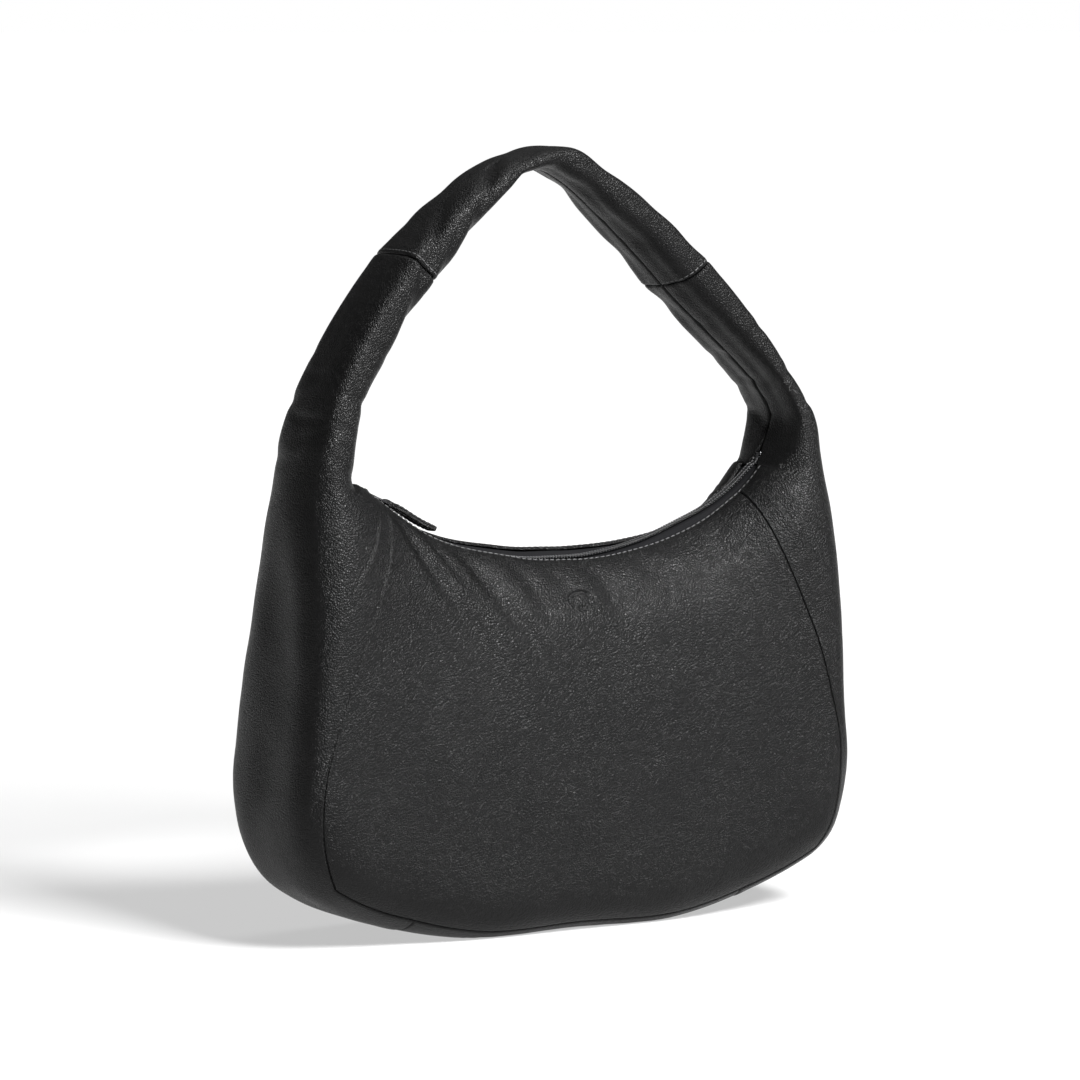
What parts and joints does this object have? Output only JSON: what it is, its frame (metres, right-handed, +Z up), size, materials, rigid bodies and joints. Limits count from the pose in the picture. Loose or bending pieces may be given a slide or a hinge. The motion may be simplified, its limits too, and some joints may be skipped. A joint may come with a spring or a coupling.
{
  "type": "hobo bag",
  "caption": "Soft leather hobo shoulder bag with a built-in tube strap, curved top zip with a leather pull, stitched gussets and a flat stiffened base.",
  "frame": {"origin": "centre of the flat base, on the surface the bag stands on", "axes": "+X to the bag's right end as the picture shows its front, +Y towards the back, +Z up"},
  "size_m": [0.3672, 0.106, 0.4435],
  "materials": {
    "leather": "black pebble-grained leather with a soft sheen",
    "lining": "dark woven lining cloth",
    "zip_tape": "black woven zip tape",
    "zip_coil": "black nylon coil",
    "zip_metal": "black plated metal, satin",
    "webbing": "dark polyester webbing",
    "board": "grey-brown stiffener board"
  },
  "bodies": {
    "bag": {"front_panel": "leather", "back_panel": "leather", "left_gusset": "leather", "right_gusset": "leather", "base_panel": "leather", "left_strap_root": "leather", "right_strap_root": "leather", "mouth_facing_front": "leather", "mouth_facing_back": "leather", "zip_tape_front": "zip_tape", "zip_tape_back": "zip_tape", "zip_coil_front": "zip_coil", "zip_coil_back": "zip_coil", "zip_stop_left": "zip_metal", "zip_stop_right": "zip_metal", "lining_front": "lining", "lining_back": "lining", "lining_left": "lining", "lining_right": "lining", "lining_base": "lining", "slip_pocket": "lining", "base_stiffener": "board"},
    "strap": {"strap_top": "leather", "strap_core": "webbing"},
    "slider": {"slider_body": "zip_metal"},
    "link": {"puller_link": "zip_metal"},
    "tab": {"pull_tab": "leather"}
  },
  "joints": [
    {"name": "strap_fold", "type": "hinge", "parent": "bag", "child": "strap", "pos_m": [0, 0, 0.322], "axis": [1, 0, 0], "range_deg": [-85, 85], "deforming": ["left_strap_root", "right_strap_root"]},
    {"name": "zip_run", "type": "hinge", "parent": "bag", "child": "slider", "pos_m": [0, 0, 0.416], "axis": [0, -1, 0], "range_deg": [0, 60], "deforming": ["zip_coil_front", "zip_coil_back", "zip_tape_front", "zip_tape_back"]},
    {"name": "link_swing", "type": "hinge", "parent": "slider", "child": "link", "pos_m": [-0.12175, 0, 0.25206], "axis": [0, -1, 0], "range_deg": [0, 90]},
    {"name": "tab_swing", "type": "hinge", "parent": "link", "child": "tab", "pos_m": [-0.10855, -0.00235, 0.24534], "axis": [0, -1, 0], "range_deg": [0, 55]}
  ]
}
